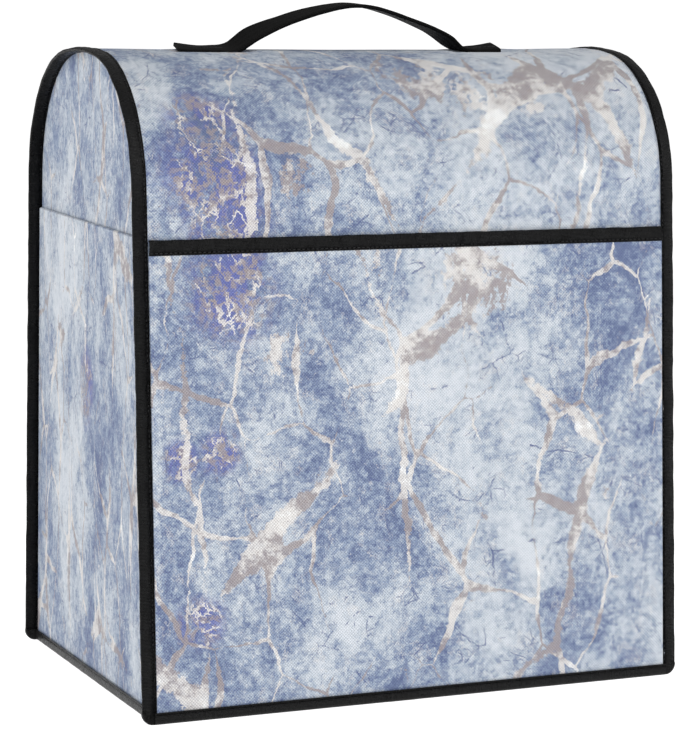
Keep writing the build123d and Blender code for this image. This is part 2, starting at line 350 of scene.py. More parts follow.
def printedCanvas():
    # polyester oxford cloth, sublimation printed: matte threads in a small even grain under a soft marble
    material, tree, surface = newMaterial("Oxford canvas, marble print")
    flat = addNode(tree, "UVMap", uv_map="print")
    drifted = pushed(tree, flat, 9, 0.045, 2)
    rough = pushed(tree, drifted, 60, 0.009, 6)
    drawings = {"flat": flat, "drifted": drifted, "rough": rough}
    grain = {}
    for name, (drawing, angle, stretch, shift, scale, detail, roughness) in marble["grains"].items():
        place = addNode(tree, "Mapping", {"Vector": drawings[drawing], "Location": shift or (0, 0, 0),
                                          "Rotation": (0, 0, radians(angle)), "Scale": (1, stretch, 1)})
        grain[name] = addNode(tree, "TexNoise", {"Vector": place, "Scale": scale, "Detail": detail,
                                                 "Roughness": roughness}, give="Fac")

    wobble = addNode(tree, "Math", {0: grain["wobble"], 1: 0.5}, operation="SUBTRACT")
    # pale print, and on the crown's front right a painted highlight, both lifting the stone towards mist
    paleAndHighlightZone = nearSpots(tree, flat, marble["paleAndHighlightSpots"], wobble)
    violetZone = nearSpots(tree, flat, marble["violetSpots"], wobble)
    foilZone = nearSpots(tree, flat, marble["foilSpots"], wobble)

    # the stone: soft clouds broken up by wisps and crisp patches, from deep blue to mist
    patches = [addNode(tree, "MapRange", {"Value": grain["patch"], "From Min": low, "From Max": low + 0.03},
                       interpolation_type="SMOOTHSTEP") for low in (0.50, 0.40)]
    stone = addNode(tree, "Math", {0: grain["cloud"], 1: 0.85}, operation="MULTIPLY")
    for field, weight in ((grain["wisp"], 0.70), (grain["fine"], 1.05), (patches[0], 0.07), (patches[1], 0.07),
                          (paleAndHighlightZone, 0.14), (violetZone, -0.12)):
        stone = addNode(tree, "Math", {0: field, 1: weight, 2: stone}, operation="MULTIPLY_ADD")
    centred = addNode(tree, "Math", {0: stone, 1: 0.93}, operation="SUBTRACT")
    ramp = addNode(tree, "ValToRGB", {"Fac": centred}, give=None)
    while len(ramp.color_ramp.elements) < len(marble["stops"]):
        ramp.color_ramp.elements.new(0.5)
    for element, (position, name) in zip(ramp.color_ramp.elements, marble["stops"]):
        element.position = position
        element.color = rgb(marble[name])
    colour = ramp.outputs["Color"]

    # ink speckle along the dark wisps, dark rims round the patches, and small chips of cream
    crack, cream, taupe = rgb(marble["crack"]), rgb(marble["cream"]), rgb(marble["taupe"])
    colour = inkLaid(tree, colour, crack, 0.6, (grain["speck"], 0.53, 0.66), (stone, 1.44, 1.28))
    rims = [addNode(tree, "Math", {0: grain["patch"], 1: level, 2: width}, operation="COMPARE")
            for level, width in ((0.515, 0.016), (0.415, 0.014))]
    rims = addNode(tree, "Math", {0: rims[0], 1: rims[1]}, operation="MAXIMUM")
    colour = inkLaid(tree, colour, crack, 0.5, rims, (stone, 1.56, 1.36))
    chips = addNode(tree, "Math", {0: grain["chip"], 1: 0.56, 2: 0.012}, operation="COMPARE")
    colour = inkLaid(tree, colour, cream, 0.55, chips, (grain["broken"], 0.46, 0.56))
    colour = inkLaid(tree, colour, rgb(marble["violet"]), 0.65, violetZone, (grain["wisp"], 0.60, 0.44))
    colour = inkLaid(tree, colour, taupe, 0.8, (grain["crumb"], 0.50, 0.56), violetZone)

    # hairline cracks, drawn about twice as wide as real ones so that they show
    for scale, width, strength, low in marble["cracks"]:
        line = (cellEdges(tree, rough, scale), width * 1.5, width * 0.3)
        colour = inkLaid(tree, colour, crack, strength, line, (grain["broken"], low, low + 0.06),
                         (grain["fine"], 0.40, 0.52))

    # foil: broad veins and blotches, finer branching veins and curls, taupe to cream to white
    edge = addNode(tree, "Math", {0: grain["edge"], 1: 0.5}, operation="SUBTRACT")
    ragged = addNode(tree, "Math", {0: edge, 1: 2.6}, operation="MULTIPLY")
    presence = addNode(tree, "Math", {0: foilZone, 1: 0.16, 2: grain["presence"]}, operation="MULTIPLY_ADD")
    frayed = addNode(tree, "Math", {0: edge, 1: 0.35, 2: grain["blotch"]}, operation="MULTIPLY_ADD")
    frayed = addNode(tree, "Math", {0: foilZone, 1: 0.14, 2: frayed}, operation="MULTIPLY_ADD")
    foil = addNode(tree, "MapRange", {"Value": frayed, "From Min": 0.66, "From Max": 0.67},
                   interpolation_type="SMOOTHSTEP")
    curls = addNode(tree, "Math", {0: grain["curl"], 1: 0.5, 2: 0.022}, operation="COMPARE")
    nearViolet = addNode(tree, "Math", {0: edge, 1: 0.9, 2: violetZone}, operation="MULTIPLY_ADD")
    nearViolet = addNode(tree, "MapRange", {"Value": nearViolet, "From Min": 0.55, "From Max": 0.75},
                         interpolation_type="SMOOTHSTEP")
    parts = [addNode(tree, "Math", {0: curls, 1: nearViolet}, operation="MULTIPLY")]
    for angle, stretch, shift, scale, widest, gain, least in marble["foilNets"]:
        place = addNode(tree, "Mapping", {"Vector": rough, "Location": shift or (0, 0, 0),
                                          "Rotation": (0, 0, radians(angle)), "Scale": (1, stretch, 1)})
        here = addNode(tree, "Math", {0: presence, 1: gain, 2: least}, operation="MULTIPLY_ADD")
        parts.append(veinNet(tree, place, scale, widest, here, ragged))
    for part in parts:
        foil = addNode(tree, "Math", {0: foil, 1: part}, operation="MAXIMUM")
    foilColour = inkLaid(tree, taupe, cream, 1, (grain["sheen"], 0.46, 0.54))
    foilColour = inkLaid(tree, foilColour, rgb(marble["white"]), 1, (grain["sheen"], 0.57, 0.63))
    worn = addNode(tree, "MapRange", {"Value": edge, "From Min": 0.16, "From Max": -0.2},
                   interpolation_type="SMOOTHSTEP")
    worn = addNode(tree, "Math", {0: worn, 1: 0.2, 2: 0.75}, operation="MULTIPLY_ADD")
    colour = inkLaid(tree, colour, foilColour, 1, foil, worn)

    # threads: painted shade, a little lighter where they stand up and darker between them
    warp, weft = threadWaves(tree, addNode(tree, "UVMap", uv_map="weave"), marble["threadPitch"])
    weave = addNode(tree, "Math", {0: warp, 1: weft}, operation="MULTIPLY")
    shade = addNode(tree, "Math", {0: weave, 1: 0.25, 2: 0.98}, operation="MULTIPLY_ADD")
    shade = addNode(tree, "CombineColor", {0: shade, 1: shade, 2: shade})
    colour = addNode(tree, "Mix", {"Factor": 1.0, 6: colour, 7: shade}, data_type="RGBA",
                     blend_type="MULTIPLY", give=2)
    finishSurface(tree, surface, colour, weave, 0.5, 0.2 * mm,
                  {"Roughness": 0.72, "Specular IOR Level": 0.3, "Sheen Weight": 0.05,
                   "Sheen Roughness": 0.5})
    return material


def bindingTape():
    # black polyester binding tape, calendered and sewn: a soft satin gleam over a fine cross rib
    material, tree, surface = newMaterial("Polyester binding tape, black, sewn")
    threads = addNode(tree, "UVMap", uv_map="weave")
    rib, cross = threadWaves(tree, threads, 0.9 * mm)
    weave = addNode(tree, "Math", {0: cross, 1: 0.4, 2: rib}, operation="MULTIPLY_ADD")
    leaning = addNode(tree, "Mapping", {"Vector": threads, "Rotation": (0, 0, radians(24)),
                                        "Scale": (1, 0.4, 1)})
    crease = addNode(tree, "TexNoise", {"Vector": leaning, "Scale": 130, "Detail": 5, "Roughness": 0.6},
                     give="Fac")
    dusty = addNode(tree, "TexNoise", {"Vector": threads, "Scale": 60, "Detail": 5, "Roughness": 0.6},
                    give="Fac")
    colour = inkLaid(tree, rgb("#030304"), rgb("#08080a"), 1, (dusty, 0.35, 0.7))
    height = addNode(tree, "Math", {0: weave, 1: 0.2}, operation="MULTIPLY")
    height = addNode(tree, "Math", {0: crease, 1: 2.2, 2: height}, operation="MULTIPLY_ADD")
    gloss = addNode(tree, "MapRange", {"Value": crease, "To Min": 0.16, "To Max": 0.38})
    tree.links.new(gloss, surface.inputs["Roughness"])
    finishSurface(tree, surface, colour, height, 1.0, 2.0 * mm, {"Specular IOR Level": 0.22})
    return material


def strapWebbing():
    # black polyester webbing, woven: ribs across the strap with a diagonal twill, rather matte
    material, tree, surface = newMaterial("Polyester webbing, black, woven")
    threads = addNode(tree, "UVMap", uv_map="weave")
    split = addNode(tree, "SeparateXYZ", {0: threads}, give=None)
    along = addNode(tree, "Math", {0: split.outputs[0], 1: 2 * pi / (1.8 * mm)}, operation="MULTIPLY")
    zigzag = addNode(tree, "Math", {0: split.outputs[1], 1: 3.1 * mm}, operation="PINGPONG")
    turns = addNode(tree, "Math", {0: zigzag, 1: 2 * pi / (2.1 * mm), 2: along}, operation="MULTIPLY_ADD")
    twill = addNode(tree, "Math", {0: turns}, operation="SINE")
    fuzz = addNode(tree, "TexNoise", {"Vector": threads, "Scale": 900, "Detail": 3, "Roughness": 0.6},
                   give="Fac")
    height = addNode(tree, "Math", {0: fuzz, 1: 0.6, 2: twill}, operation="MULTIPLY_ADD")
    # painted shade: lighter on the twill's ridges and darker between them
    colour = inkLaid(tree, rgb("#020202"), rgb("#080808"), 1, (twill, -1, 1))
    finishSurface(tree, surface, colour, height, 0.7, 0.3 * mm, {"Roughness": 0.62, "Specular IOR Level": 0.1})
    return material


def sewingThread():
    # black spun polyester thread, twisted: two plies, with a thin line of painted highlight along them
    material, tree, surface = newMaterial("Polyester thread, black, twisted")
    place = addNode(tree, "TexCoord", give="Object")
    pliesAndHighlight = addNode(tree, "TexNoise", {"Vector": place, "Scale": 2600, "Detail": 2, "Roughness": 0.5},
                    give="Fac")
    # painted highlight: lighter along the plies where they would catch the light
    colour = inkLaid(tree, rgb("#101011"), rgb("#303033"), 1, pliesAndHighlight)
    finishSurface(tree, surface, colour, pliesAndHighlight, 0.5, 0.1 * mm, {"Roughness": 0.45})
    return material


def liningCloth():
    # thin polyester taffeta, woven: pale grey, smooth, a little shiny along its folds
    material, tree, surface = newMaterial("Polyester taffeta, light grey, woven")
    threads = addNode(tree, "UVMap", uv_map="weave")
    warp, weft = threadWaves(tree, threads, 1.1 * mm)
    weave = addNode(tree, "Math", {0: warp, 1: weft}, operation="MULTIPLY")
    drawn = addNode(tree, "Mapping", {"Vector": threads, "Scale": (1, 0.06, 1)})
    slub = addNode(tree, "TexNoise", {"Vector": drawn, "Scale": 500, "Detail": 3, "Roughness": 0.6},
                   give="Fac")
    height = addNode(tree, "Math", {0: slub, 1: 0.8, 2: weave}, operation="MULTIPLY_ADD")
    colour = inkLaid(tree, rgb("#b4b6ba"), rgb("#c9cbcf"), 1, (slub, 0.35, 0.7))
    finishSurface(tree, surface, colour, height, 0.3, 0.1 * mm, {"Roughness": 0.5, "Sheen Weight": 0.1})
    return material


def needleFelt():
    # needled polyester felt: white matted fibres with small lumps
    material, tree, surface = newMaterial("Polyester felt, white, needled")
    place = addNode(tree, "TexCoord", give="Object")
    fibres = addNode(tree, "TexNoise", {"Vector": place, "Scale": 700, "Detail": 6, "Roughness": 0.7,
                                        "Distortion": 1.5}, give="Fac")
    colour = inkLaid(tree, rgb("#cfcfcc"), rgb("#f1f1ee"), 1, fibres)
    finishSurface(tree, surface, colour, fibres, 0.8, 0.4 * mm, {"Roughness": 0.9, "Sheen Weight": 0.3})
    return material


finishes = {
    "printed_cloth": printedCanvas(),
    "binding_tape": bindingTape(),
    "webbing": strapWebbing(),
    "thread": sewingThread(),
    "lining_cloth": liningCloth(),
    "felt": needleFelt(),
}
print("materials made")


def dress(piece, slotName, *nodes):
    piece.data.materials.clear()
    piece.data.materials.append(finishes[slotName])
    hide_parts(*nodes)
    return piece


# the three layers that run from the front hem over the arch to the back hem
mainCloth = {"foot": 0.7 * mm, "sag": 0.7 * mm, "sagHeights": (345 * mm, 425 * mm), "undulate": 0.45 * mm,
             "hump": 75 * mm, "pucker": 0.22 * mm, "puckerWidth": 9 * mm,
             "step": 3.2 * mm, "feltStep": 6 * mm, "liningStep": 5 * mm,
             # how the handle's sewn ends press in, and where
             "tabPress": 1.0 * mm, "tabTilt": 1.6 * mm, "tabTiltReach": 12.5 * mm, "tabMiddle": 103 * mm,
             "tabHalfSize": (20 * mm, 12 * mm), "tabRim": 14 * mm, "topHeights": (400 * mm, 420 * mm)}
# the turned foot of a seam; proud is how far it stands out across and along
footCap = {"width": 9.9 * mm, "depth": 3.6 * mm, "height": 8.6 * mm, "corner": 7.6 * mm, "clear": 1.2 * mm,
           "edge": 0.9 * mm, "proud": (0.15 * mm, 0.3 * mm)}


def mainSlack(x, run, z):
    # how far the padded cloth lies inside the true arch
    # it sags between the seams and dips under the handle's ends
    middle = 1 - smooth(0.55, 1.0, abs(x) / sideFace)
    slack = mainCloth["sag"] * smooth(*mainCloth["sagHeights"], z) * middle
    slack += mainCloth["undulate"] * (0.5 + 0.5 * ripple(Vector((x, run, 0)), mainCloth["hump"], 1)) * middle
    back = run - halfLength
    tabLong, tabWide = mainCloth["tabHalfSize"]
    fromTab = max(abs(back) - tabWide, abs(abs(x) - mainCloth["tabMiddle"]) - tabLong)
    press = mainCloth["tabPress"] - mainCloth["tabTilt"] * min(max(back / mainCloth["tabTiltReach"], -1), 1)
    return slack + press * (1 - smooth(0, mainCloth["tabRim"], fromTab)) * smooth(*mainCloth["topHeights"], z)


def makeMainLayer(name, node, slotName, half, inset, thickness, step, inwards=False, printStart=(0, 0)):
    start = mainCloth["foot"]
    size = (2 * half, 2 * halfLength - 2 * start)

    def place(u, v):
        x = u - half
        spot, out = outlineAt(v + start, inset)
        toCorner = abs(x) - (halfWidth - footCap["corner"])
        if toCorner > 0 and spot.z < footCap["corner"]:      # the seam's bottom corner is rounded
            drop = sqrt(max(footCap["corner"] ** 2 - toCorner ** 2, 0))
            spot.z = max(spot.z, footCap["corner"] + footCap["clear"] - drop)
        slack = mainSlack(x, v + start, spot.z)
        toSeam = (sideFace - abs(x)) / mainCloth["puckerWidth"]
        if toSeam > 0 and not inwards:
            uneven = 1 + ripple(Vector((v, 0, 0)), mainCloth["puckerWidth"], 2)
            slack += mainCloth["pucker"] * uneven * exp(-toSeam * toSeam)
        return Vector((x, 0, 0)) + spot - out * slack

    piece = clothGrid(name, size, (step, step), place, printStart=printStart, turnOver=inwards,
                      thickness=thickness)
    dress(piece, slotName, node)
    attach(piece, "shell")


makeMainLayer("mainPanel", "main_panel", "printed_cloth", halfWidth - 0.6 * mm, layer["main"],
              cloth["printed"], mainCloth["step"], printStart=(0, 2))
makeMainLayer("mainFelt", "main_interlining", "felt", sideFace - cloth["printed"], layer["felt"],
              cloth["felt"], mainCloth["feltStep"])
makeMainLayer("mainLining", "main_lining", "lining_cloth", liningInside + cloth["lining"], layer["lining"],
              cloth["lining"], mainCloth["liningStep"], inwards=True)
print("main layers made")


# the D-shaped ends
endCloth = {"undulate": 0.45 * mm, "hump": 70 * mm, "flatHeights": (360 * mm, 420 * mm), "cutShare": 0.93,
            "printScale": 1.8, "step": 3 * mm, "innerStep": 8 * mm}


def makeEnd(name, node, side, face, inset, slotName, thickness, step, inwards=False, printStart=(0, 0)):
    foot, out = outlineAt(0, inset)
    top, out = outlineAt(halfLength, inset)
    wide, high = abs(foot.y), top.z

    def cut(u, v):
        # rows follow the arch up to its top
        spot, out = outlineAt(v / high * halfLength, inset)
        return (u / wide - 1) * abs(spot.y), max(spot.z, 0.7 * mm)

    def place(u, v):
        y, z = cut(u, v)
        toRim = 1 - smooth(0.75, 1.0, abs(u / wide - 1))
        slack = endCloth["undulate"] * (0.5 + 0.5 * ripple(Vector((y, z, side)), endCloth["hump"], 4)) * toRim
        slack *= 1 - smooth(*endCloth["flatHeights"], z)
        return Vector((side * (face - slack), side * y, z))

    piece = clothGrid(name, (2 * wide, high), (step, step), place, cut=cut, printStart=printStart,
                      printScale=endCloth["printScale"], turnOver=inwards, thickness=thickness)
    dress(piece, slotName, node)
    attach(piece, "shell")


for side, hand in ((-1, "left"), (1, "right")):
    makeEnd("sidePanel" + hand.title(), "side_panel_" + hand, side, sideFace, layer["lip"], "printed_cloth",
            cloth["printed"], endCloth["step"], printStart=(5.4 + side, 3))
    makeEnd("sideFelt" + hand.title(), "side_interlining_" + hand, side, sideFace - cloth["printed"],
            layer["sideFelt"], "felt", cloth["felt"], endCloth["innerStep"])
    makeEnd("sideLining" + hand.title(), "side_lining_" + hand, side, liningInside, layer["sideLining"],
            "lining_cloth", cloth["lining"], endCloth["innerStep"], inwards=True)
print("ends made")


# pockets: each is made in two halves
pocket = {"foot": 3.5 * mm, "gap": 0.4 * mm, "frontLean": 0.9 * mm, "leanFrom": 26 * mm,
          "sideGap": 1.0 * mm, "sideLean": 1.1 * mm, "bulge": 0.5 * mm, "frontHump": 90 * mm,
          "sideHump": 80 * mm, "rim": 30 * mm, "footRim": 40 * mm, "held": 12 * mm, "free": 115 * mm,
          "sideFree": 20 * mm, "foldDepth": 12 * mm, "foldRadius": 0.7 * mm, "mouthSlant": 5 * mm,
          "step": 3 * mm, "foldStep": 1.5 * mm}
frontHinge = jointAt("front_pocket_mouth")
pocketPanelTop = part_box("front_pocket_panel")[1][2]
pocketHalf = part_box("front_pocket_panel")[1][0]
# how far it stands off the wall for its height
pocketLean = pocket["frontLean"] / (pocketTop - pocket["leanFrom"])


def pocketFace(x, z, extra=0.0):
    # a point of the front pocket's outer face; extra is how far off that face
    off = pocket["gap"] + pocketLean * max(z - frontHinge.z, 0) + extra
    spot, out = outlineAt(z / cos(outline["lean"]), 0)
    fade = smooth(0, pocket["rim"], pocketHalf - abs(x)) * smooth(0, pocket["footRim"], z)
    fade *= smooth(0, pocket["rim"], pocketTop - z)
    off += pocket["bulge"] * (0.5 + 0.5 * ripple(Vector((x, z, 3)), pocket["frontHump"], 6)) * fade
    return Vector((x, 0, 0)) + spot + out * off, out


def makeFrontPocketHalf(side, hand):
    long = pocketPanelTop - pocket["foot"]
    start = -pocketHalf if side < 0 else 0.0

    def place(u, v):
        return pocketFace(start + u, pocket["foot"] + v)[0]

    piece = clothGrid("frontPocket" + hand.title(), (pocketHalf, long), (pocket["step"], pocket["step"]),
                      place, cut=lambda u, v: (start + pocketHalf + u, v), thickness=cloth["printed"])
    dress(piece, "printed_cloth", "front_pocket_panel")
    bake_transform(piece)


def makeSidePocketHalf(side, hand, end, endName):
    # end is -1 for the half beside the front wall
    hinge = jointAt("side_pocket_" + hand + "_mouth")
    low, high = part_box("side_pocket_" + hand)
    tall = high[2]
    frontTall = tall - pocket["mouthSlant"]
    reach = high[1]
    lean = pocket["sideLean"] / tall
    radius = pocket["foldRadius"]
    turnLength = pi * radius
    long = tall - pocket["foot"] + turnLength + pocket["foldDepth"]

    def place(u, v):
        y = end * (reach - u)
        z = pocket["foot"] + v
        mouth = frontTall + (tall - frontTall) * (y / reach + 1) / 2 - radius
        base = side * (sideFace + pocket["sideGap"])
        stretched = z * mouth / (tall - radius)      # rows run level with the slanting mouth
        over = v - (tall - radius - pocket["foot"])
        edgeY = y * (1 - (stretched + hinge.z) * tan(outline["lean"]) / halfDepth)
        out = lean * max(min(stretched, mouth) - hinge.z, 0)
        fade = smooth(0, pocket["rim"], u) * smooth(0, pocket["footRim"], z)
        fade *= smooth(0, pocket["rim"], mouth - stretched)
        out += pocket["bulge"] * (0.5 + 0.5 * ripple(Vector((y, z, side * 5)), pocket["sideHump"], 8)) * fade
        if over <= 0:
            return Vector((base + side * out, edgeY, stretched))
        if over < turnLength:
            angle = over / radius
            return Vector((base + side * (out - radius + radius * cos(angle)), edgeY,
                           mouth + radius * sin(angle)))
        return Vector((base + side * (out - 2 * radius), edgeY, mouth - (over - turnLength)))

    def cut(u, v):
        return (side * end * (reach - u) + reach, v)

    piece = clothGrid("sidePocket" + hand.title() + endName, (reach, long),
                      (pocket["step"], pocket["foldStep"]), place, cut=cut, printStart=(5.4 + side, 3.6),
                      printScale=endCloth["printScale"], turnOver=side * end > 0, thickness=cloth["pocket"])
    dress(piece, "printed_cloth", "side_pocket_" + hand)
    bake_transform(piece)


for side, hand in ((-1, "left"), (1, "right")):
    makeFrontPocketHalf(side, hand)
    for end, endName in ((-1, "Front"), (1, "Back")):
        makeSidePocketHalf(side, hand, end, endName)
print("pockets made")


# black tapes, folded over the edges; the groove is where the stitches pull in
edgeTape = {"leg": 8.4 * mm, "radius": 1.3 * mm, "stitchIn": 1.4 * mm, "groove": 0.6 * mm,
            "grooveWidth": 0.5 * mm, "bulge": 0.5 * mm, "edgeDip": -0.1 * mm, "wrinkle": 0.34 * mm,
            "wrinkleAlong": 13 * mm, "wrinkleAcross": 7 * mm, "step": 2.2 * mm, "foot": 6.5 * mm}
pocketTape = {"leg": 9.0 * mm, "radius": 0.98 * mm, "stitchIn": 1.6 * mm, "groove": 0.35 * mm,
              "grooveWidth": 0.55 * mm, "bulge": 0.35 * mm, "edgeDip": 0.1 * mm, "wrinkle": 0.32 * mm,
              "wrinkleAlong": 8 * mm, "wrinkleAcross": 9 * mm, "seed": 2, "step": 2 * mm,
              "joints": (34.6 * mm, 107 * mm), "jointStep": 0.3 * mm, "jointRamp": 1.2 * mm,
              "sunk": 0.35 * mm, "stitchOff": 0.45 * mm}
hemTape = {"leg": 5.3 * mm, "radius": 2.65 * mm, "stitchIn": 1.3 * mm, "groove": 0.35 * mm,
           "grooveWidth": 0.5 * mm, "bulge": 0.2 * mm, "edgeDip": 0.1 * mm, "wrinkle": 0.14 * mm,
           "wrinkleAlong": 11 * mm, "wrinkleAcross": 7 * mm, "step": 2.5 * mm, "wallInset": 1.75 * mm,
           "sideInset": 0.65 * mm, "rowOut": 0.6 * mm, "sideRowOut": 1.75 * mm, "rowShort": 4 * mm,
           "joint": -21.8 * mm, "jointStep": 0.3 * mm, "jointRamp": 0.8 * mm, "jointFade": 6 * mm}


def makeEdgeTape(side, hand):
    start = edgeTape["foot"]
    long = 2 * halfLength - 2 * start

    def path(t):
        spot, out = outlineAt(t + start, edgeTape["radius"])
        return Vector((side * (halfWidth - edgeTape["radius"]), 0, 0)) + spot, Vector((-side, 0, 0)), out

    piece, flat = tapeGrid("edgeTape" + hand.title(), long, dict(edgeTape, seed=1.5 + side), path,
                           turnOver=side > 0)
    dress(piece, "binding_tape", "edge_binding_" + hand)
    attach(piece, "shell")


def makePocketTape(side, hand):
    start = -pocketHalf if side < 0 else 0.0
    first, second = pocketTape["joints"]

    def path(t):
        x = start + t
        spot, out = pocketFace(x, pocketTop - pocketTape["radius"], -pocketTape["sunk"])
        ramp = pocketTape["jointRamp"]
        lap = pocketTape["jointStep"] * smooth(first, first + ramp, x)
        lap *= 1 - smooth(second, second + ramp, x)
        return spot + out * lap, Vector((0, -out.z, -1)), out

    piece, flat = tapeGrid("pocketTape" + hand.title(), pocketHalf, pocketTape, path)
    dress(piece, "binding_tape", "front_pocket_binding")
    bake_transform(piece)


def makeHemTapes():
    def wallPath(end):
        def path(t):
            x = t - sideFace - 1.5 * mm
            spot, out = outlineAt(0.0, hemTape["wallInset"])
            lap = hemTape["jointStep"] * smooth(hemTape["joint"] - hemTape["jointRamp"], hemTape["joint"], x)
            lap *= 1 - smooth(-hemTape["jointFade"], 0, x)
            return Vector((x, end * (abs(spot.y) + (lap if end < 0 else 0)), hemTape["radius"])), \
                Vector((0, -end * tan(outline["lean"]), 1)), Vector((0, end, 0))
        return path

    def sidePath(side):
        def path(t):
            y = side * (t - halfDepth + 3 * mm)
            return Vector((side * (sideFace - hemTape["sideInset"]), y, hemTape["radius"])), \
                Vector((0, 0, 1)), Vector((side, 0, 0))
        return path

    across, along = 2 * sideFace + 3 * mm, 2 * (halfDepth - 3 * mm)
    runs = [("Front", across, wallPath(-1), False), ("Back", across, wallPath(1), True),
            ("Left", along, sidePath(-1), False), ("Right", along, sidePath(1), False)]
    for number, (name, long, path, turnOver) in enumerate(runs):
        piece, flat = tapeGrid("hemTape" + name, long, dict(hemTape, seed=3 + number), path, turnOver=turnOver)
        dress(piece, "binding_tape", "hem_binding")
        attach(piece, "shell")


def makeFootCap(side, end, name):
    # the hem tape turned round the foot of a seam, with its outer bottom corner rounded
    bm = bmesh.new()
    size = Matrix.Diagonal((footCap["width"], footCap["depth"], footCap["height"], 1))
    bmesh.ops.create_cube(bm, size=1, matrix=size)
    corner = [edge for edge in bm.edges
              if all(side * vert.co.x > 0 and vert.co.z < 0 for vert in edge.verts)]
    bmesh.ops.bevel(bm, geom=corner, offset=footCap["corner"], segments=8, profile=0.5, affect="EDGES",
                    material=-1)
    sharp = [edge for edge in bm.edges if edge.is_manifold and edge.calc_face_angle() > radians(60)]
    bmesh.ops.bevel(bm, geom=sharp, offset=footCap["edge"], segments=3, profile=0.5, affect="EDGES",
                    material=-1)
    weave = bm.loops.layers.uv.new("weave")
    for face in bm.faces:
        for loop in face.loops:
            loop[weave].uv = (loop.vert.co.x, loop.vert.co.z)
    for vert in bm.verts:
        z = vert.co.z + footCap["height"] / 2
        vert.co.y += end * (halfDepth + footCap["proud"][1] - footCap["depth"] / 2 - z * tan(outline["lean"]))
        vert.co.x += side * (halfWidth + footCap["proud"][0] - footCap["width"] / 2)
        vert.co.z = z
    piece = newObject("footCap" + name, bm)
    finishCloth(piece, 0)
    dress(piece, "binding_tape", "hem_binding")
    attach(piece, "shell")


for side, hand in ((-1, "left"), (1, "right")):
    makeEdgeTape(side, hand)
    makePocketTape(side, hand)
    makeFootCap(side, -1, hand.title() + "Front")
    makeFootCap(side, 1, hand.title() + "Back")
makeHemTapes()
print("tapes made")


# rows of short rounded stitches
stitch = {"length": 2.7 * mm, "gap": 0.5 * mm, "width": 0.5 * mm, "height": 0.36 * mm}


def stitchRow(bm, long, path):
    # path(t) gives a point, the way along and the way out
    count = max(1, floor(long / (stitch["length"] + stitch["gap"])))
    pitch = long / count
    for i in range(count):
        spot, along, out = path((i + 0.5) * pitch)
        across = out.cross(along).normalized()
        turn = Matrix((along.normalized(), across, out)).transposed().to_4x4()
        size = Matrix.Diagonal((stitch["length"] / 2, stitch["width"] / 2, stitch["height"] / 2, 1))
        bmesh.ops.create_icosphere(bm, subdivisions=1, radius=1, matrix=Matrix.Translation(spot) @ turn @ size)


def makeStitches(name, rows, *nodes):
    bm = bmesh.new()
    for long, path in rows:
        stitchRow(bm, long, path)
    piece = newObject(name, bm)
    piece.data.shade_smooth()
    return dress(piece, "thread", *nodes)


def arcRow(x, inset):
    start = hemTop + 1 * mm

    def path(t):
        spot, out = outlineAt(t + start, inset)
        ahead, far = outlineAt(t + start + mm, inset)
        return Vector((x, 0, 0)) + spot, ahead - spot, out
    return 2 * halfLength - 2 * start, path


def straightRow(start, finish, out):
    start, finish = Vector(start), Vector(finish)
    along = (finish - start).normalized()
    return (finish - start).length, lambda t: (start + along * t, along, Vector(out).normalized())


for side, hand in ((-1, "left"), (1, "right")):
    x = side * (sideFace + edgeTape["stitchIn"])
    row = makeStitches("edgeStitches" + hand.title(),
                       [arcRow(x, edgeTape["groove"] - 0.05 * mm),
                        arcRow(x, 2 * edgeTape["radius"] - edgeTape["groove"])], "edge_stitching_" + hand)
    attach(row, "shell")
    start = -pocketHalf if side < 0 else 0.0

    def pocketPath(t, start=start):
        z = pocketTop - pocketTape["leg"] - pocketTape["radius"] + pocketTape["stitchIn"]
        spot, out = pocketFace(start + t, z, pocketTape["stitchOff"])
        return spot, Vector((1, 0, 0)), out

    row = makeStitches("pocketStitches" + hand.title(), [(pocketHalf, pocketPath)], "pocket_binding_stitching")
    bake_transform(row)

rowHeight = hemTop - hemTape["stitchIn"]
wallY = halfDepth + hemTape["rowOut"] - rowHeight * tan(outline["lean"])
wallX = sideFace + hemTape["sideRowOut"]
hemRows = [straightRow((-sideFace, end * wallY, rowHeight), (sideFace, end * wallY, rowHeight), (0, end, 0))
           for end in (-1, 1)]
rowEnd = wallY - hemTape["rowShort"]
hemRows += [straightRow((side * wallX, -rowEnd, rowHeight), (side * wallX, rowEnd, rowHeight), (side, 0, 0))
            for side in (-1, 1)]
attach(makeStitches("hemStitches", hemRows, "hem_stitching"), "shell")
print("stitching made")


# the handle: one length of webbing, sewn down at both ends
handle = {"thickness": 2.6 * mm, "width": 25 * mm, "edgeRadius": 1.1 * mm, "step": 1.6 * mm,
          # where the webbing's outer face runs, from its left end to its right end: x and height
          "run": ((-124.5, 431.6), (-117, 430.8), (-108, 430.3), (-97, 430.1), (-88, 430.3),
                  (-83.5, 431.6), (-79, 434.6), (-72, 439.4), (-61, 444.4), (-48, 449.2), (-33, 453.9),
                  (-20, 457.2), (-9, 459.2), (3, 460.2), (15, 459.3), (29, 455.9), (42, 451.8),
                  (56, 446.6), (67, 441.8), (75, 437.2), (80.5, 433.0), (84.5, 430.7), (90, 430.0),
                  (98, 430.1), (106, 430.6), (114, 431.6)),
          # how far the back edge stands above the front one, in degrees, by x
          "roll": ((-124, 10), (-106, 7), (-84, 11), (-70, 14), (-45, 8), (0, 3), (40, 3), (62, 0),
                   (76, -4), (86, 2), (98, 6), (114, 10)),
          "endSlant": 0.16, "slantFrom": (95 * mm, 118 * mm), "sewnFrom": (83 * mm, 92 * mm), "wave": 0.1 * mm,
          "held": 2.5 * mm, "free": 12 * mm,
          # the sewn boxes: their ends by x, and half their width
          "boxes": ((-117 * mm, -95 * mm), (92 * mm, 109.5 * mm)), "boxHalf": 9.5 * mm}


def spread(points, value):
    # smooth curve through a few points
    for (x0, y0), (x1, y1) in zip(points, points[1:]):
        if value <= x1:
            return y0 + (y1 - y0) * smooth(x0, x1, value)
    return points[-1][1]


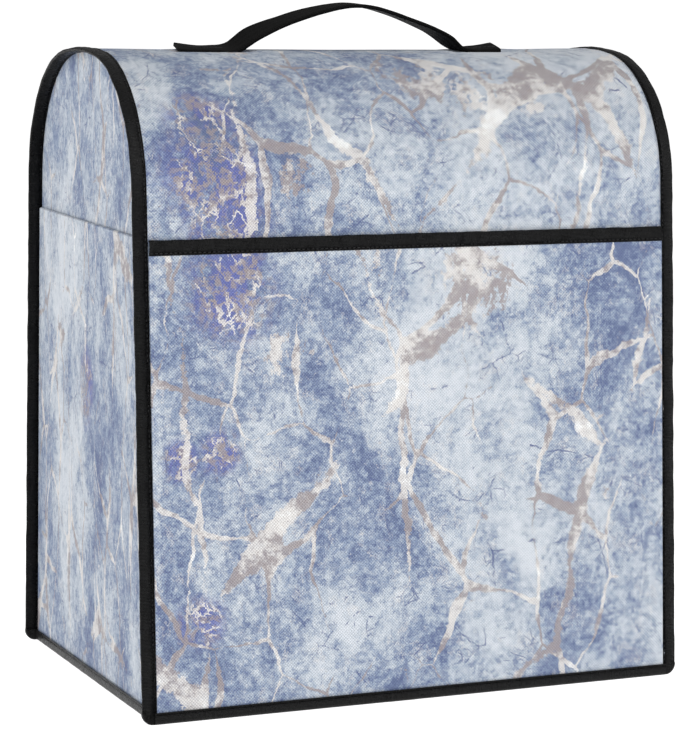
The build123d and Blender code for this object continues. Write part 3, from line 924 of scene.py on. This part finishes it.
def handleCurve():
    # even steps along a smooth curve through the run
    curve = bpy.data.curves.new("handlePath", "CURVE")
    line = curve.splines.new("BEZIER")
    line.bezier_points.add(len(handle["run"]) - 1)
    for point, (x, z) in zip(line.bezier_points, handle["run"]):
        point.co = (x * mm, 0, z * mm)
        point.handle_left_type = point.handle_right_type = "AUTO"
    curve.resolution_u = 12
    path = bpy.data.objects.new("handlePath", curve)
    bpy.context.scene.collection.objects.link(path)
    bpy.context.view_layer.update()
    mesh = bpy.data.meshes.new_from_object(path.evaluated_get(bpy.context.evaluated_depsgraph_get()))
    spots = [vert.co.copy() for vert in mesh.vertices]
    bpy.data.objects.remove(path)
    bpy.data.meshes.remove(mesh)
    lengths = [0.0]
    for before, after in zip(spots, spots[1:]):
        lengths.append(lengths[-1] + (after - before).length)
    return spots, lengths


def makeHandle():
    spots, lengths = handleCurve()
    long = lengths[-1]
    wide, thick, bend = handle["width"], handle["thickness"], handle["edgeRadius"]
    around = 2 * (wide - 2 * bend) + 2 * (thick - 2 * bend) + 2 * pi * bend

    def at(t):
        i = 0
        while i < len(lengths) - 2 and lengths[i + 1] < t:
            i += 1
        share = (t - lengths[i]) / (lengths[i + 1] - lengths[i])
        return spots[i].lerp(spots[i + 1], share), (spots[i + 1] - spots[i]).normalized()

    def section(w):
        # round the webbing's outline: across it, and above or below its middle
        halfWide, halfThick = wide / 2 - bend, thick / 2 - bend
        quarter = pi * bend / 2
        sides = [(2 * halfWide, (-1, 0), (-halfWide, halfThick + bend)),
                 (2 * halfThick, (0, -1), (halfWide + bend, halfThick))]
        w = w % around
        for flip in (1, -1):
            for length, way, start in sides:
                if w < length:
                    return flip * (start[0] - way[0] * w), flip * (start[1] + way[1] * w)
                w -= length
                if w < quarter:
                    angle = w / bend
                    centre = (halfWide, halfThick) if length > thick else (halfWide, -halfThick)
                    if length > thick:
                        return flip * (centre[0] + bend * sin(angle)), flip * (centre[1] + bend * cos(angle))
                    return flip * (centre[0] + bend * cos(angle)), flip * (centre[1] - bend * sin(angle))
                w -= quarter
        return -halfWide, halfThick + bend

    def place(u, w):
        spot, along = at(min(u, long))
        across, above = section(w)
        roll = radians(spread(handle["roll"], spot.x / mm))
        up = Vector((-along.z, 0, along.x))
        back = Vector((0, cos(roll), 0)) + up * sin(roll)
        over = up * cos(roll) - Vector((0, sin(roll), 0))
        toEnd = smooth(*handle["slantFrom"], abs(spot.x))
        spot = spot + back * across + over * (above - thick / 2)
        # the sewn ends follow the crown and are cut on a slant
        sewn = smooth(*handle["sewnFrom"], abs(spot.x))
        spot.z -= sewn * across * across / (2 * outline["crown"])
        spot.x += toEnd * handle["endSlant"] * across
        spot += over * handle["wave"] * ripple(Vector((u, across, 0)), 14 * mm, 9)
        return spot

    bm = bmesh.new()
    columns, rows = round(long / handle["step"]), 44
    bmesh.ops.create_grid(bm, x_segments=columns, y_segments=rows, size=0.5)
    weave = bm.loops.layers.uv.new("weave")
    for face in bm.faces:
        for corner in face.loops:
            corner[weave].uv = ((corner.vert.co.x + 0.5) * long, (corner.vert.co.y + 0.5) * around)
    for vert in bm.verts:
        vert.co = place((vert.co.x + 0.5) * long, (vert.co.y + 0.5) * around)
    bmesh.ops.remove_doubles(bm, verts=bm.verts, dist=0.02 * mm)
    bmesh.ops.holes_fill(bm, edges=[edge for edge in bm.edges if edge.is_boundary], sides=0)
    bmesh.ops.recalc_face_normals(bm, faces=bm.faces)
    strap = newObject("handleWebbing", bm)
    finishCloth(strap, 0)
    dress(strap, "webbing", "handle_strap", "handle_tab_left", "handle_tab_right")
    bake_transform(strap)

    lines = []
    for low, high in handle["boxes"]:
        def onTab(x, y):
            near = min(range(len(spots)), key=lambda i: abs(spots[i].x - x) + (spots[i].z > 0.436))
            return Vector((x, y, spots[near].z - y * y / (2 * outline["crown"]) + 0.1 * mm))
        half = handle["boxHalf"]
        corners = [(low, -half), (high, -half), (high, half), (low, half)]
        for a, b in ((0, 1), (1, 2), (2, 3), (3, 0), (0, 2), (1, 3)):
            lines.append(straightRow(onTab(*corners[a]), onTab(*corners[b]), (0, 0, 1)))
    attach(makeStitches("handleStitches", lines, "handle_tab_stitching"), "shell")


makeHandle()
print("handle made")


# soft boxes: place, aim, size and power; the backdrop is seen brighter than it lights
studio = {"floorHalf": 30, "floorColour": "#dedede", "floorGlow": 0.9, "backdrop": 0.22, "backdropSeen": 0.9,
          "boxes": {"key": ((-1.1, -2.7, 1.5), (0, 0, 0.2), (1.2, 1.2), 34),
                    "fill": ((2.2, -1.6, 1.4), (0, 0, 0.25), (0.7, 1.5), 20),
                    "side": ((-2.5, 0.1, 1.2), (0, 0, 0.25), (0.9, 1.4), 18),
                    "top": ((0.3, 0.1, 2.2), (0.1, 0, 0.3), (1.0, 0.8), 9)}}


def makeFloor():
    bm = bmesh.new()
    bmesh.ops.create_grid(bm, x_segments=1, y_segments=1, size=studio["floorHalf"])
    sheet = newObject("floor", bm)
    material, tree, surface = newMaterial("Studio paper, white, matte")
    for name, value in {"Base Color": rgb(studio["floorColour"]), "Roughness": 0.9, "Specular IOR Level": 0.0,
                        "Emission Color": (1, 1, 1, 1), "Emission Strength": studio["floorGlow"]}.items():
        surface.inputs[name].default_value = value
    sheet.data.materials.append(material)


def areaLight(name, place, aim, size, power):
    light = bpy.data.lights.new(name, "AREA")
    light.shape = "RECTANGLE"
    light.size, light.size_y = size
    light.energy = power
    lamp = bpy.data.objects.new(name, light)
    lamp.location = place
    lamp.rotation_euler = (Vector(aim) - Vector(place)).to_track_quat("-Z", "Y").to_euler()
    bpy.context.scene.collection.objects.link(lamp)


view = {"place": (-0.7600, -1.7857, 0.4604), "yaw": 22.95, "pitch": -7.44, "roll": 0.38, "lens": 136.72}


def makeCamera():
    data = bpy.data.cameras.new("camera")
    data.lens = view["lens"]
    data.sensor_width = 36
    data.clip_end = 100
    camera = bpy.data.objects.new("camera", data)
    bpy.context.scene.collection.objects.link(camera)
    turned = Matrix.Rotation(radians(-view["yaw"]), 4, "Z")
    tilted = Matrix.Rotation(pi / 2 + radians(view["pitch"]), 4, "X")
    rolled = Matrix.Rotation(radians(view["roll"]), 4, "Z")
    camera.matrix_world = Matrix.Translation(view["place"]) @ (turned @ tilted) @ rolled
    bpy.context.scene.camera = camera


def makeWorld():
    world = bpy.data.worlds.new("studio")
    bpy.context.scene.world = world
    world.use_nodes = True
    background = world.node_tree.nodes["Background"]
    background.inputs["Color"].default_value = (1, 1, 1, 1)
    seen = addNode(world.node_tree, "LightPath", give="Is Camera Ray")
    strength = addNode(world.node_tree, "Math", {0: seen, 1: studio["backdropSeen"], 2: studio["backdrop"]},
                       operation="MULTIPLY_ADD")
    world.node_tree.links.new(strength, background.inputs["Strength"])


makeFloor()
makeCamera()
makeWorld()
for name, (place, aim, size, power) in studio["boxes"].items():
    areaLight(name, place, aim, size, power)
bpy.context.scene.view_settings.view_transform = "Standard"
print("studio made")
